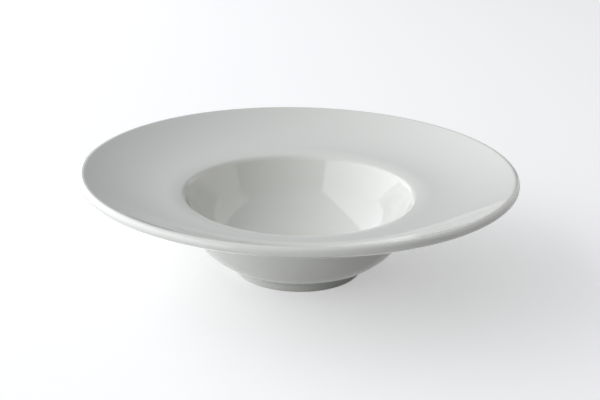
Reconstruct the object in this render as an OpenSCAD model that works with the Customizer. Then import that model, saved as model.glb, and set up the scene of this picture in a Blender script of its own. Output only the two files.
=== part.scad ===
// Wide-rimmed pasta bowl: one pressed porcelain body with its fired glaze.
// The outline is a string drawn tight round circles, turned once about the axis.
// Millimetres, +Z up, origin on the table at the middle of the foot ring.

/* [Rim] */
// Diameter across the outside of the rim
rim_diameter = 280; // [260:1:300]
// Height of the rim above the table
rim_height = 71; // [66:0.5:76]
// Slope of the dished flange where it meets the round lip, in degrees
rim_slope = 29; // [25:0.5:33]
// Radius of the sweep that carries the flange up to the lip
sweep_radius = 145; // [120:1:170]
// Slope of the flange where that sweep starts, in degrees
sweep_slope = 20; // [17:0.5:23]
// Slope of the flange where it lies flattest, in degrees
level_slope = 5.5; // [4:0.1:7]
// Thickness of the flange
flange_thickness = 5.5; // [4.5:0.1:6.5]

/* [Well] */
// Radius of the soft shoulder that turns the flange down towards the well
shoulder_radius = 60; // [50:1:70]
// Slope of the shoulder where it meets the well's edge, in degrees
shoulder_slope = 15; // [12:0.5:18]
// Diameter at which the shoulder meets the well's edge
well_diameter = 153; // [146:1:160]
// Radius of the rounded edge between shoulder and well
well_edge_radius = 5; // [3:0.5:7]
// Steepness of the straight part of the well's wall, in degrees
well_wall_slope = 66; // [62:0.1:72]
// Thickness of the well's wall
wall_thickness = 6; // [5:0.1:7]
// Radius of the curve from the well's wall to its floor
well_corner_radius = 39; // [34:0.5:44]
// Height of the middle of the well's floor above the table
floor_height = 9.2; // [8.5:0.1:11]
// Radius of the shallow dish of the floor
floor_dish_radius = 400; // [300:10:800]
// Radius of the hollow between the outside of the well and the underside of the flange
root_radius = 9; // [5:0.5:14]

/* [Foot ring] */
// Diameter across the outside of the foot ring
foot_diameter = 85.5; // [80:0.5:92]
// Width of the foot ring
foot_width = 5.5; // [4.5:0.1:8]
// Radius of the hollow where the outside of the well meets the foot ring
neck_radius = 3; // [2:0.1:4]
// Rounding of the foot ring's standing edges
foot_edge_radius = 1.2; // [0.6:0.1:1.6]
// Depth of the recess inside the foot ring
recess_depth = 4; // [3:0.1:5]
// Radius of the hollow between the recess and the foot ring
recess_radius = 2.5; // [1:0.1:4]

/* [Glaze] */
// Thickness of the fired glaze
glaze_thickness = 0.3; // [0.2:0.05:0.5]
// Height of unglazed clay between the standing edges and the glaze
bare_margin = 0.2; // [0.1:0.1:1]

/* [Hidden] */

// Greatest angle between neighbouring points of a curve, in degrees
curve_step = 5;
// Sides of the turned forms
turned_sides = 240;
// Points closer than this are one point
same_point = 0.001;

rim_radius = rim_diameter / 2;
well_radius = well_diameter / 2;
foot_radius = foot_diameter / 2;
lip_radius = flange_thickness / 2;
outside_corner_radius = well_corner_radius + wall_thickness;
bare_height = foot_edge_radius + bare_margin;
foot_inside_radius = foot_radius - foot_width;
recess_fillet = min(recess_radius, recess_depth - bare_height);

// Headings along the outline, which runs from the floor's middle up, out and under.
// Heading 0 points away from the axis, and the clay is always on the right.
floor_heading = 0;
underside_heading = level_slope - 180;
outside_wall_heading = well_wall_slope - 180;
foot_side_heading = -90;
rising_heading = 90;
inward_heading = 180;

function forward(heading) = [cos(heading), sin(heading)];
function leftward(heading) = [-sin(heading), cos(heading)];

// The point that lies given distances to the left of two lines, each a point and a heading
function left_of_both(line_a, distance_a, line_b, distance_b) =
    let (
        a = leftward(line_a[1]),
        b = leftward(line_b[1]),
        reach_a = line_a[0] * a + distance_a,
        reach_b = line_b[0] * b + distance_b
    )
    [reach_a * b[1] - reach_b * a[1], reach_b * a[0] - reach_a * b[0]] / cross(a, b);

lip_centre = [rim_radius - lip_radius, rim_height - lip_radius];

// The sweep runs down and in from the lip
lip_top = lip_centre + lip_radius * leftward(rim_slope);
sweep_centre = lip_top + sweep_radius * leftward(rim_slope);
sweep_start = sweep_centre - sweep_radius * leftward(sweep_slope);

// The wide hollow of the flange fills the way from the sweep to its flattest place
level_reach = well_radius + shoulder_radius * (sin(shoulder_slope) - sin(level_slope));
flange_radius = (sweep_start[0] - level_reach) / (sin(sweep_slope) - sin(level_slope));
flange_centre = sweep_start + flange_radius * leftward(sweep_slope);
level_point = flange_centre - flange_radius * leftward(level_slope);

// The shoulder touches the flange at that place and the well's edge further in
shoulder_centre = level_point - shoulder_radius * leftward(level_slope);
edge_centre = shoulder_centre + (shoulder_radius - well_edge_radius) * leftward(shoulder_slope);

// The corner touches the well's wall on one side and the dish of the floor on the other
dish_centre = [0, floor_height + floor_dish_radius];
corner_reach = floor_dish_radius - well_corner_radius;
wall_side = edge_centre + (well_edge_radius + well_corner_radius) * leftward(well_wall_slope) - dish_centre;
wall_side_along = wall_side * forward(well_wall_slope);
wall_run = wall_side_along + sqrt(wall_side_along ^ 2 - wall_side * wall_side + corner_reach ^ 2);
corner_centre = dish_centre + wall_side - wall_run * forward(well_wall_slope);

// The root touches the flange's underside and the outside of the well's wall
root_centre = left_of_both(
    [level_point, underside_heading], flange_thickness + root_radius,
    [edge_centre, outside_wall_heading], wall_thickness - well_edge_radius + root_radius
);

// The neck touches the outside of the well's corner and the side of the foot ring
neck_out = foot_radius + neck_radius - corner_centre[0];
neck_drop = sqrt((outside_corner_radius + neck_radius) ^ 2 - neck_out ^ 2);
neck_centre = [foot_radius + neck_radius, corner_centre[1] - neck_drop];

// A bend is a circle's middle and its radius: above zero for a hollow, below zero for a bulge
upper_bends = [
    [dish_centre, floor_dish_radius],
    [corner_centre, well_corner_radius],
    [edge_centre, -well_edge_radius],
    [shoulder_centre, -shoulder_radius],
    [flange_centre, flange_radius],
    [sweep_centre, sweep_radius],
    [lip_centre, -lip_radius],
    [sweep_centre, -sweep_radius - flange_thickness],
    [flange_centre, -flange_radius - flange_thickness],
    [root_centre, root_radius],
    [corner_centre, -outside_corner_radius],
    [neck_centre, neck_radius]
];
recess_bends = [
    [[foot_inside_radius - recess_fillet, recess_depth - recess_fillet], recess_fillet]
];

// Heading of the straight run from one bend to the next
function run_heading(a, b) =
    let (
        step = b[0] - a[0],
        share = (b[1] - a[1]) / norm(step)
    )
    atan2(step[1], step[0]) - asin(max(-1, min(1, share)));

// Angle turned in a bend, to the left in a hollow and to the right in a bulge
function full_turn(angle) =
    let (part = angle - 360 * floor(angle / 360))
    part > 360 - same_point ? 0 : part;
function bend_turn(radius, first, last) =
    radius > 0 ? full_turn(last - first) : -full_turn(first - last);

// Points of one bend, set back into the clay by inset
function bend_points(bend, first, last, inset) =
    let (
        turned = bend_turn(bend[1], first, last),
        steps = max(1, ceil(abs(turned) / curve_step))
    )
    [for (i = [0:steps]) bend[0] - (bend[1] + inset) * leftward(first + turned * i / steps)];

// Points of the whole string round the bends
function string_points(bends, first, last, inset) =
    let (
        count = len(bends),
        runs = [for (i = [1:1:count - 1]) run_heading(bends[i - 1], bends[i])],
        headings = concat([first], runs, [last]),
        points = [
            for (i = [0:count - 1])
                each bend_points(bends[i], headings[i], headings[i + 1], inset)
        ]
    )
    [
        for (i = [0:len(points) - 1])
            if (i == 0 || norm(points[i] - points[i - 1]) > same_point) points[i]
    ];

// From the middle of the floor over the rim and down the outside to the bare band
function upper_path(inset) = concat(
    string_points(upper_bends, floor_heading, foot_side_heading, inset),
    [[foot_radius - inset, bare_height]]
);

// From the bare band up the inside of the foot ring to the middle of the recess
function recess_path(inset) = concat(
    [[foot_inside_radius + inset, bare_height]],
    string_points(recess_bends, rising_heading, inward_heading, inset),
    [[0, recess_depth + inset]]
);

// The bare clay on which the bowl stands, between the two glazes
foot_edge_bends = [
    [[foot_radius - glaze_thickness - foot_edge_radius, foot_edge_radius], -foot_edge_radius],
    [[foot_inside_radius + glaze_thickness + foot_edge_radius, foot_edge_radius], -foot_edge_radius]
];
bare_path = string_points(foot_edge_bends, foot_side_heading, rising_heading, 0);

function reversed(points) = [for (i = [len(points) - 1:-1:0]) points[i]];

module turned(points) {
    rotate_extrude($fn = turned_sides)
        polygon(points);
}

// Layer of glaze between the finished outline and the clay
module glaze_layer(finished, clay) {
    turned(concat(finished, reversed(clay)));
}

// Pressed and fired clay: flange, well and foot ring in one piece
module porcelain_body() {
    color("ivory")
        turned(concat(upper_path(glaze_thickness), bare_path, recess_path(glaze_thickness)));
}

// Glaze over the well, the flange, the lip and the outside
module glaze_coat() {
    color("gainsboro")
        glaze_layer(upper_path(0), upper_path(glaze_thickness));
}

// Glaze in the recess, parted from the rest by the bare standing edge
module foot_recess_glaze() {
    color("lightgray")
        glaze_layer(recess_path(0), recess_path(glaze_thickness));
}

porcelain_body();
glaze_coat();
foot_recess_glaze();
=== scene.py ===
import math

import bmesh
import bpy
from mathutils import Matrix, Vector


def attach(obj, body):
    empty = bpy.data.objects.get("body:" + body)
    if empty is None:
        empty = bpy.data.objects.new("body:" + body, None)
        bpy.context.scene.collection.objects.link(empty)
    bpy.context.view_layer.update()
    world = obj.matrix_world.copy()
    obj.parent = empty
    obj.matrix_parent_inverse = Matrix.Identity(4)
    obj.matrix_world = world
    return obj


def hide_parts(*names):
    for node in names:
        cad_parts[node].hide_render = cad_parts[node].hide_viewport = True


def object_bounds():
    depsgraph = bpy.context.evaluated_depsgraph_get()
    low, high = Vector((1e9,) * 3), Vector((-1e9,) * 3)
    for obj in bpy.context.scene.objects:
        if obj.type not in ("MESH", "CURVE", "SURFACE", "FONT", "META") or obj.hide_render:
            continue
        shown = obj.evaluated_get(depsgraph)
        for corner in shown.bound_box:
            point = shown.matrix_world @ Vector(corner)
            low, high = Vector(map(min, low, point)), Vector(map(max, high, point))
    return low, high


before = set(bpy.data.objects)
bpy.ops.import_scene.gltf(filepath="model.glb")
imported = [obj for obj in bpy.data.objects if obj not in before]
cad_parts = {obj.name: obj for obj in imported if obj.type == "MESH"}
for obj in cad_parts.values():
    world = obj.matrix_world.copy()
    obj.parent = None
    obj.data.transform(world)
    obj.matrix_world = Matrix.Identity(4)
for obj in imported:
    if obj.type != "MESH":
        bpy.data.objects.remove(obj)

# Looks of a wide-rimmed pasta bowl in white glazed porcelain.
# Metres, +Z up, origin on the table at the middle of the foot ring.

CAD_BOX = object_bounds()

MM = 0.001

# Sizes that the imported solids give
RIM_RADIUS = min(CAD_BOX[1].x, CAD_BOX[1].y)
RIM_HEIGHT = CAD_BOX[1].z

# Rim and flange
RIM_SLOPE = math.radians(29)
SWEEP_RADIUS = 145 * MM
SWEEP_SLOPE = math.radians(20)
LEVEL_SLOPE = math.radians(5.5)
FLANGE_THICKNESS = 5.5 * MM
LIP_RADIUS = FLANGE_THICKNESS / 2

# Well
SHOULDER_RADIUS = 60 * MM
SHOULDER_SLOPE = math.radians(15)
WELL_RADIUS = 76.5 * MM
WELL_EDGE_RADIUS = 5 * MM
WELL_WALL_SLOPE = math.radians(66)
WALL_THICKNESS = 6 * MM
WELL_CORNER_RADIUS = 39 * MM
FLOOR_HEIGHT = 9.2 * MM
FLOOR_DISH_RADIUS = 400 * MM
ROOT_RADIUS = 9 * MM

# Foot ring
FOOT_RADIUS = 42.75 * MM
FOOT_WIDTH = 5.5 * MM
NECK_RADIUS = 3 * MM
FOOT_EDGE_RADIUS = 1.2 * MM
RECESS_DEPTH = 4 * MM
RECESS_RADIUS = 2.5 * MM
BARE_HEIGHT = 1.4 * MM
GLAZE_THICKNESS = 0.3 * MM

# Fineness of the turned meshes
TURN_STEPS = 480
CURVE_STEP = math.radians(1.5)
HIDDEN_STEP = math.radians(6)
LONGEST_RUN = 5 * MM
BEAD_STEPS = 6
SAME_POINT = 0.001 * MM
SAME_ANGLE = 1e-6

# Glaze: its colours, and where it is thin or pooled along the bends of the outline
GLAZE_COLOUR = (0.834, 0.84, 0.792)
THIN_GLAZE = (0.828, 0.826, 0.772)
POOLED_GLAZE = (0.79, 0.825, 0.77)
POOLED_TONE = 0.2
EVEN_TONE = 0.5
THIN_TONE = 0.8
TONE_DRIFT = 0.05
FADE_REACH = 1.5
THIN_CHANGE = 0.15
POOLED_CHANGE = -0.2
SMOOTHEST_GLAZE = 0.01
ROUGHEST_GLAZE = 0.02
DRIFT_SCALE = 9.0
RIPPLE_SCALE = 160.0
RIPPLE_STRENGTH = 0.02
RIPPLE_HEIGHT = 0.2 * MM

# Bare clay of the standing edge
DARK_GRAIN = (0.82, 0.80, 0.75)
PALE_GRAIN = (0.88, 0.86, 0.81)
SMOOTHEST_CLAY = 0.68
ROUGHEST_CLAY = 0.82
GRAIN_SCALE = 900.0
GRAIN_STRENGTH = 0.35
GRAIN_HEIGHT = 0.1 * MM

# Both materials: the span in which nearly all of a noise lies, and how strongly they mirror
NOISE_LOW = 0.3
NOISE_HIGH = 0.7
REFRACTION = 1.5

# Camera, as fitted to the outlines in the photograph
CAMERA_ELEVATION = math.radians(20.392)
CAMERA_ROLL = math.radians(1.274)
CAMERA_DISTANCE = 700 * MM
CAMERA_TARGET = Vector((0.739, 0, 46.413)) * MM
FOCAL_PIXELS = 1073.3
PICTURE_WIDTH = 600
SENSOR_WIDTH = 36

# Studio: places of the lights are given for a distance of one metre to either side
FLOOR_REACH = 40.0
FLOOR_SIDES = 96
FLOOR_GREY = 0.7
FLOOR_WHITE = 0.43
SIDE_DISTANCE = 1.0
STUDIO_WHITE = (0.945, 0.96, 1)
SOFTBOX_FRONT = -1.75
SOFTBOX_BACK = 2.2
SOFTBOX_TOP = 1.5
SOFTBOX_LIGHT = 2.1
CARD_FRONT = -0.27
CARD_BACK = 1.9
CARD_TOP = 0.95
CARD_LIGHT = 1.0
CARD_COLOUR = (1, 0.97, 0.9)
FILL_START = 0.2
FILL_FULL = 0.9
FILL_LIGHT = 0.49
BACKDROP = 0.39


def forward(heading):
    return Vector((math.cos(heading), math.sin(heading)))


def leftward(heading):
    return Vector((-math.sin(heading), math.cos(heading)))


def left_of_both(line_a, distance_a, line_b, distance_b):
    """The point that lies given distances to the left of two lines, each a point and a heading."""
    a = leftward(line_a[1])
    b = leftward(line_b[1])
    reach_a = line_a[0].dot(a) + distance_a
    reach_b = line_b[0].dot(b) + distance_b
    spread = a.x * b.y - a.y * b.x
    return Vector((reach_a * b.y - reach_b * a.y, reach_b * a.x - reach_a * b.x)) / spread


def upper_bends():
    """Circles that the outline runs round, by name, from the floor over the rim to the foot.
    Each is a middle and a radius: above zero for a hollow, below zero for a bulge."""
    lip = Vector((RIM_RADIUS - LIP_RADIUS, RIM_HEIGHT - LIP_RADIUS))
    sweep = lip + (LIP_RADIUS + SWEEP_RADIUS) * leftward(RIM_SLOPE)
    sweep_start = sweep - SWEEP_RADIUS * leftward(SWEEP_SLOPE)
    level_reach = WELL_RADIUS + SHOULDER_RADIUS * (math.sin(SHOULDER_SLOPE) - math.sin(LEVEL_SLOPE))
    flange_radius = (sweep_start.x - level_reach) / (math.sin(SWEEP_SLOPE) - math.sin(LEVEL_SLOPE))
    flange = sweep_start + flange_radius * leftward(SWEEP_SLOPE)
    level_point = flange - flange_radius * leftward(LEVEL_SLOPE)
    shoulder = level_point - SHOULDER_RADIUS * leftward(LEVEL_SLOPE)
    edge = shoulder + (SHOULDER_RADIUS - WELL_EDGE_RADIUS) * leftward(SHOULDER_SLOPE)

    dish = Vector((0, FLOOR_HEIGHT + FLOOR_DISH_RADIUS))
    side = edge + (WELL_EDGE_RADIUS + WELL_CORNER_RADIUS) * leftward(WELL_WALL_SLOPE) - dish
    along = side.dot(forward(WELL_WALL_SLOPE))
    reach = FLOOR_DISH_RADIUS - WELL_CORNER_RADIUS
    run = along + math.sqrt(along ** 2 - side.dot(side) + reach ** 2)
    corner = dish + side - run * forward(WELL_WALL_SLOPE)
    outside_corner_radius = WELL_CORNER_RADIUS + WALL_THICKNESS

    root = left_of_both(
        (level_point, LEVEL_SLOPE - math.pi), FLANGE_THICKNESS + ROOT_RADIUS,
        (edge, WELL_WALL_SLOPE - math.pi), WALL_THICKNESS - WELL_EDGE_RADIUS + ROOT_RADIUS,
    )
    neck_x = FOOT_RADIUS + NECK_RADIUS
    neck_drop = math.sqrt((outside_corner_radius + NECK_RADIUS) ** 2 - (neck_x - corner.x) ** 2)
    neck = Vector((neck_x, corner.y - neck_drop))
    return {
        "dish": (dish, FLOOR_DISH_RADIUS),
        "corner": (corner, WELL_CORNER_RADIUS),
        "edge": (edge, -WELL_EDGE_RADIUS),
        "shoulder": (shoulder, -SHOULDER_RADIUS),
        "flange": (flange, flange_radius),
        "sweep": (sweep, SWEEP_RADIUS),
        "lip": (lip, -LIP_RADIUS),
        "sweep_underside": (sweep, -SWEEP_RADIUS - FLANGE_THICKNESS),
        "flange_underside": (flange, -flange_radius - FLANGE_THICKNESS),
        "root": (root, ROOT_RADIUS),
        "outside_corner": (corner, -outside_corner_radius),
        "neck": (neck, NECK_RADIUS),
    }


def run_heading(a, b):
    """Heading of the straight run from one bend to the next."""
    step = b[0] - a[0]
    share = (b[1] - a[1]) / step.length
    return math.atan2(step.y, step.x) - math.asin(max(-1, min(1, share)))


def bend_turn(radius, first, last):
    """Angle turned in a bend, to the left in a hollow and to the right in a bulge."""
    side = math.copysign(1, radius)
    turned = side * (last - first) % math.tau
    return 0 if math.tau - turned < SAME_ANGLE else side * turned


def string_points(bends, first, last, inset):
    """Points of a string drawn tight round the bends, set back into the clay by inset.
    Faces that are set back lie under the glaze, so their points are further apart."""
    step = HIDDEN_STEP if inset else CURVE_STEP
    runs = [run_heading(a, b) for a, b in zip(bends, bends[1:])]
    headings = [first, *runs, last]
    points = []
    for (middle, radius), start, end in zip(bends, headings, headings[1:]):
        turned = bend_turn(radius, start, end)
        by_angle = abs(turned) / step
        by_length = abs(turned * radius) / LONGEST_RUN
        steps = max(1, math.ceil(max(by_angle, by_length)))
        for i in range(steps + 1):
            points.append(middle - (radius + inset) * leftward(start + turned * i / steps))
    return spaced(points)


def spaced(points):
    """The same points with doubled ones left out and long straight runs divided."""
    kept = [points[0]]
    for point in points[1:]:
        start = kept[-1]
        length = (point - start).length
        if length < SAME_POINT:
            continue
        pieces = math.ceil(length / LONGEST_RUN)
        kept.extend(start.lerp(point, i / pieces) for i in range(1, pieces + 1))
    return kept


def upper_path(inset):
    """From the middle of the floor over the rim and down the outside to the foot ring's side."""
    return string_points(list(upper_bends().values()), 0, -math.pi / 2, inset)


def recess_path(inset):
    """From the inside of the foot ring to the middle of the recess."""
    fillet = min(RECESS_RADIUS, RECESS_DEPTH - BARE_HEIGHT)
    inside = FOOT_RADIUS - FOOT_WIDTH
    bend = (Vector((inside - fillet, RECESS_DEPTH - fillet)), fillet)
    middle = Vector((0, RECESS_DEPTH + inset))
    return spaced([*string_points([bend], math.pi / 2, math.pi, inset), middle])


def glaze_bead(radius, side):
    """Rounded end of the glaze on the foot ring, from its finished face to the clay.
    Side is 1 on the outside of the ring and -1 on the inside."""
    clay = radius - side * GLAZE_THICKNESS
    points = []
    for i in range(BEAD_STEPS + 1):
        angle = math.pi / 2 * i / BEAD_STEPS
        out = side * GLAZE_THICKNESS * math.cos(angle)
        up = GLAZE_THICKNESS * (1 - math.sin(angle))
        points.append(Vector((clay + out, BARE_HEIGHT + up)))
    return points


def standing_edge():
    """The bare clay on which the bowl stands, between the two glazes."""
    outer = FOOT_RADIUS - GLAZE_THICKNESS
    inner = FOOT_RADIUS - FOOT_WIDTH + GLAZE_THICKNESS
    bends = [
        (Vector((outer - FOOT_EDGE_RADIUS, FOOT_EDGE_RADIUS)), -FOOT_EDGE_RADIUS),
        (Vector((inner + FOOT_EDGE_RADIUS, FOOT_EDGE_RADIUS)), -FOOT_EDGE_RADIUS),
    ]
    return string_points(bends, -math.pi / 2, math.pi / 2, 0)


def turned(name, outline):
    """A closed outline in radius and height, turned once about the Z axis."""
    mesh = bmesh.new()
    rings = []
    for point in outline:
        if point.x < SAME_POINT:
            rings.append([mesh.verts.new((0, 0, point.y))])
            continue
        ring = []
        for i in range(TURN_STEPS):
            flat = point.x * forward(math.tau * i / TURN_STEPS)
            ring.append(mesh.verts.new((flat.x, flat.y, point.y)))
        rings.append(ring)
    for a, b in zip(rings, rings[1:] + rings[:1]):
        if len(a) == len(b) == 1:
            continue
        for i in range(TURN_STEPS):
            j = (i + 1) % TURN_STEPS
            if len(a) == 1:
                mesh.faces.new((a[0], b[j], b[i]))
            elif len(b) == 1:
                mesh.faces.new((a[i], a[j], b[0]))
            else:
                mesh.faces.new((a[i], a[j], b[j], b[i]))
    bmesh.ops.recalc_face_normals(mesh, faces=mesh.faces)
    for face in mesh.faces:
        face.smooth = True
    data = bpy.data.meshes.new(name)
    mesh.to_mesh(data)
    mesh.free()
    piece = bpy.data.objects.new(name, data)
    bpy.context.scene.collection.objects.link(piece)
    return piece


def fired_clay():
    """Clay of the flange, the well and the foot ring, in one piece."""
    outline = [*upper_path(GLAZE_THICKNESS), *standing_edge(), *recess_path(GLAZE_THICKNESS)]
    return turned("fired_clay", spaced(outline))


def main_glaze():
    """Glaze over the well, the flange, the lip and the outside."""
    finished = [*upper_path(0), *glaze_bead(FOOT_RADIUS, 1)]
    clay = upper_path(GLAZE_THICKNESS)[::-1]
    return turned("main_glaze", [*spaced(finished), *clay])


def recess_glaze():
    """Glaze in the recess, parted from the rest by the bare standing edge."""
    finished = [*glaze_bead(FOOT_RADIUS - FOOT_WIDTH, -1)[::-1], *recess_path(0)]
    clay = recess_path(GLAZE_THICKNESS)[::-1]
    return turned("recess_glaze", [*spaced(finished), *clay])


class Nodes:
    """Short way to add and join the nodes of one material."""

    def __init__(self, tree):
        self.tree = tree

    def add(self, kind, **inputs):
        node = self.tree.nodes.new(kind)
        for name, value in inputs.items():
            self.put(node, name.replace("_", " "), value)
        return node

    def put(self, node, name, value):
        socket = node.inputs[name]
        if isinstance(value, bpy.types.NodeSocket):
            self.tree.links.new(value, socket)
        else:
            socket.default_value = value

    def math(self, operation, *values):
        node = self.tree.nodes.new("ShaderNodeMath")
        node.operation = operation
        for place, value in enumerate(values):
            self.put(node, place, value)
        return node.outputs["Value"]

    def add_up(self, *values):
        total = values[0]
        for value in values[1:]:
            total = self.math("ADD", total, value)
        return total

    def ring_distance(self, place, ring):
        """Distance from a ring about the Z axis, which is given by its radius and height."""
        part = self.add("ShaderNodeSeparateXYZ", Vector=place).outputs
        across = self.math("MULTIPLY", part["X"], part["X"])
        along = self.math("MULTIPLY", part["Y"], part["Y"])
        radius = self.math("SQRT", self.math("ADD", across, along))
        out = self.math("SUBTRACT", radius, ring.x)
        up = self.math("SUBTRACT", part["Z"], ring.y)
        squares = self.math("ADD", self.math("MULTIPLY", out, out), self.math("MULTIPLY", up, up))
        return self.math("SQRT", squares)

    def smooth(self, source, start, end, first, last):
        """Soft change from the first value, at the start, to the last value, at the end."""
        node = self.add("ShaderNodeMapRange", Value=source)
        self.put(node, "From Min", start)
        self.put(node, "From Max", end)
        self.put(node, "To Min", first)
        self.put(node, "To Max", last)
        node.interpolation_type = "SMOOTHSTEP"
        return node.outputs["Result"]

    def ramp(self, source, stops):
        node = self.tree.nodes.new("ShaderNodeValToRGB")
        self.tree.links.new(source, node.inputs["Fac"])
        elements = node.color_ramp.elements
        while len(elements) < len(stops):
            elements.new(0.5)
        for element, (position, colour) in zip(elements, stops):
            element.position = position
            element.color = (*colour, 1)
        return node.outputs["Color"]


def new_material(name):
    material = bpy.data.materials.new(name)
    material.use_nodes = True
    material.node_tree.nodes.clear()
    return material, Nodes(material.node_tree)


def near_bend(nodes, place, bend, change):
    """The change at the surface of one bend of the outline, which fades out beside it."""
    middle, radius = bend
    distance = nodes.ring_distance(place, middle)
    return nodes.smooth(distance, abs(radius), FADE_REACH * abs(radius), change, 0)


def glaze_material():
    """White glaze: warmer where it is thin on edges, greener where it pools in hollows."""
    material, nodes = new_material("white_glaze")
    place = nodes.add("ShaderNodeTexCoord").outputs["Object"]
    bends = upper_bends()
    cloud = nodes.add("ShaderNodeTexNoise", Vector=place, Scale=DRIFT_SCALE, Detail=3.0, Roughness=0.5)
    drift = cloud.outputs["Fac"]
    tone = nodes.add_up(
        nodes.smooth(drift, NOISE_LOW, NOISE_HIGH, EVEN_TONE - TONE_DRIFT, EVEN_TONE + TONE_DRIFT),
        near_bend(nodes, place, bends["edge"], THIN_CHANGE),
        near_bend(nodes, place, bends["lip"], THIN_CHANGE),
        near_bend(nodes, place, bends["root"], POOLED_CHANGE),
        near_bend(nodes, place, bends["neck"], POOLED_CHANGE),
    )
    base = nodes.ramp(tone, [
        (POOLED_TONE, POOLED_GLAZE),
        (EVEN_TONE, GLAZE_COLOUR),
        (THIN_TONE, THIN_GLAZE),
    ])
    gloss = nodes.smooth(drift, NOISE_LOW, NOISE_HIGH, SMOOTHEST_GLAZE, ROUGHEST_GLAZE)
    ripple = nodes.add("ShaderNodeTexNoise", Vector=place, Scale=RIPPLE_SCALE, Detail=1.0)
    bump = nodes.add("ShaderNodeBump", Strength=RIPPLE_STRENGTH, Distance=RIPPLE_HEIGHT)
    nodes.put(bump, "Height", ripple.outputs["Fac"])
    shader = nodes.add("ShaderNodeBsdfPrincipled", Base_Color=base, Roughness=gloss, IOR=REFRACTION)
    nodes.put(shader, "Normal", bump.outputs["Normal"])
    nodes.add("ShaderNodeOutputMaterial", Surface=shader.outputs["BSDF"])
    return material


def clay_material():
    """Matt clay with a fine grain."""
    material, nodes = new_material("bare_porcelain")
    place = nodes.add("ShaderNodeTexCoord").outputs["Object"]
    speckle = nodes.add("ShaderNodeTexNoise", Vector=place, Scale=GRAIN_SCALE, Detail=4.0, Roughness=0.6)
    grain = speckle.outputs["Fac"]
    matt = nodes.smooth(grain, NOISE_LOW, NOISE_HIGH, SMOOTHEST_CLAY, ROUGHEST_CLAY)
    base = nodes.ramp(grain, [
        (NOISE_LOW, DARK_GRAIN),
        (NOISE_HIGH, PALE_GRAIN),
    ])
    bump = nodes.add("ShaderNodeBump", Strength=GRAIN_STRENGTH, Distance=GRAIN_HEIGHT, Height=grain)
    shader = nodes.add("ShaderNodeBsdfPrincipled", Base_Color=base, Roughness=matt, IOR=REFRACTION)
    nodes.put(shader, "Normal", bump.outputs["Normal"])
    nodes.add("ShaderNodeOutputMaterial", Surface=shader.outputs["BSDF"])
    return material


def dress(piece, material, node):
    piece.data.materials.append(material)
    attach(piece, "root")
    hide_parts(node)


def seen_directly(nodes):
    """One where a ray comes from the camera, a mirror or glass, and zero elsewhere."""
    path = nodes.add("ShaderNodeLightPath").outputs
    mirrored = nodes.math("MAXIMUM", path["Is Glossy Ray"], path["Is Transmission Ray"])
    return nodes.math("MAXIMUM", path["Is Camera Ray"], mirrored)


def floor_material():
    """Grey floor that reads as white, with a soft shadow left in it. It is clear from below."""
    material, nodes = new_material("pale_floor")
    own = nodes.add("ShaderNodeBsdfDiffuse", Color=(FLOOR_GREY, FLOOR_GREY, FLOOR_GREY, 1))
    white = nodes.add("ShaderNodeEmission", Color=(1, 1, 1, 1), Strength=FLOOR_WHITE)
    lit = nodes.add("ShaderNodeAddShader")
    nodes.put(lit, 0, own.outputs["BSDF"])
    nodes.put(lit, 1, white.outputs["Emission"])
    top = nodes.add("ShaderNodeMixShader", Fac=seen_directly(nodes))
    nodes.put(top, 1, own.outputs["BSDF"])
    nodes.put(top, 2, lit.outputs["Shader"])
    under = nodes.add("ShaderNodeBsdfTransparent")
    from_below = nodes.add("ShaderNodeNewGeometry").outputs["Backfacing"]
    both = nodes.add("ShaderNodeMixShader", Fac=from_below)
    nodes.put(both, 1, top.outputs["Shader"])
    nodes.put(both, 2, under.outputs["BSDF"])
    nodes.add("ShaderNodeOutputMaterial", Surface=both.outputs["Shader"])
    return material


def add_floor():
    mesh = bmesh.new()
    bmesh.ops.create_circle(mesh, cap_ends=True, segments=FLOOR_SIDES, radius=FLOOR_REACH)
    data = bpy.data.meshes.new("floor")
    mesh.to_mesh(data)
    mesh.free()
    floor = bpy.data.objects.new("floor", data)
    floor.location.z = CAD_BOX[0].z
    data.materials.append(floor_material())
    bpy.context.scene.collection.objects.link(floor)


def add_wall_light(name, side, front, back, top, colour):
    """An upright soft light that stands on the floor beside the bowl and has a radiance of one."""
    width = (back - front) * SIDE_DISTANCE
    height = top * SIDE_DISTANCE
    lamp = bpy.data.lights.new(name, "AREA")
    lamp.shape = "RECTANGLE"
    lamp.size = width
    lamp.size_y = height
    lamp.energy = math.pi * width * height
    lamp.color = colour
    light = bpy.data.objects.new(name, lamp)
    light.location = Vector((side, (front + back) / 2, top / 2)) * SIDE_DISTANCE
    light.rotation_mode = "QUATERNION"
    light.rotation_quaternion = Vector((-side, 0, 0)).to_track_quat("-Z", "Y")
    light.visible_camera = False
    bpy.context.scene.collection.objects.link(light)
    return light


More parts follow.
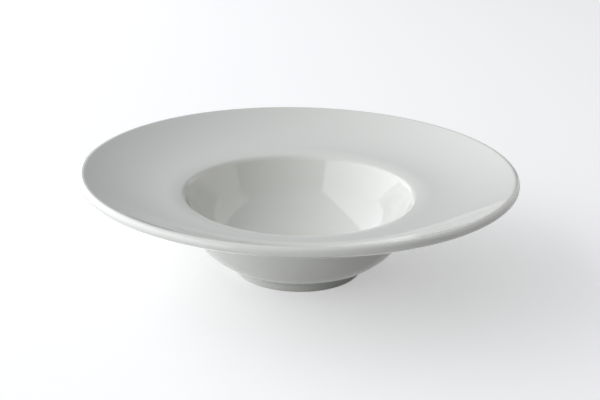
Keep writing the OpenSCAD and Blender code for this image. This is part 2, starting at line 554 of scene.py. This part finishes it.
def add_softbox():
    """Main light on the left."""
    light = add_wall_light("softbox", -1, SOFTBOX_FRONT, SOFTBOX_BACK, SOFTBOX_TOP, STUDIO_WHITE)
    light.data.energy *= SOFTBOX_LIGHT


def add_card():
    """Warm white card on the right, which only shows as a reflection."""
    light = add_wall_light("card", 1, CARD_FRONT, CARD_BACK, CARD_TOP, CARD_COLOUR)
    light.data.energy *= CARD_LIGHT
    light.visible_diffuse = False


def add_world():
    """Soft fill from above, with a pale backdrop for rays that see it directly."""
    world = bpy.data.worlds.new("studio")
    bpy.context.scene.world = world
    world.use_nodes = True
    world.node_tree.nodes.clear()
    nodes = Nodes(world.node_tree)
    direction = nodes.add("ShaderNodeTexCoord").outputs["Generated"]
    upward = nodes.add("ShaderNodeSeparateXYZ", Vector=direction).outputs["Z"]
    fill = nodes.smooth(upward, FILL_START, FILL_FULL, 0, FILL_LIGHT)
    backdrop = nodes.math("MULTIPLY", seen_directly(nodes), BACKDROP)
    level = nodes.math("ADD", fill, backdrop)
    light = nodes.add("ShaderNodeBackground", Color=(*STUDIO_WHITE, 1), Strength=level)
    nodes.add("ShaderNodeOutputWorld", Surface=light.outputs["Background"])


def add_camera():
    back = Vector((0, -math.cos(CAMERA_ELEVATION), math.sin(CAMERA_ELEVATION)))
    level = Vector((1, 0, 0))
    rise = back.cross(level)
    right = math.cos(CAMERA_ROLL) * level + math.sin(CAMERA_ROLL) * rise
    up = back.cross(right)
    data = bpy.data.cameras.new("camera")
    data.sensor_width = SENSOR_WIDTH
    data.lens = SENSOR_WIDTH * FOCAL_PIXELS / PICTURE_WIDTH
    camera = bpy.data.objects.new("camera", data)
    turn = Matrix((right, up, back)).transposed()
    camera.matrix_world = Matrix.Translation(CAMERA_TARGET + CAMERA_DISTANCE * back) @ turn.to_4x4()
    bpy.context.scene.collection.objects.link(camera)
    bpy.context.scene.camera = camera


glaze = glaze_material()
clay = clay_material()
dress(fired_clay(), clay, "porcelain_body")
dress(main_glaze(), glaze, "glaze_coat")
dress(recess_glaze(), glaze, "foot_recess_glaze")

add_floor()
add_softbox()
add_card()
add_world()
add_camera()
bpy.context.scene.view_settings.view_transform = "Standard"
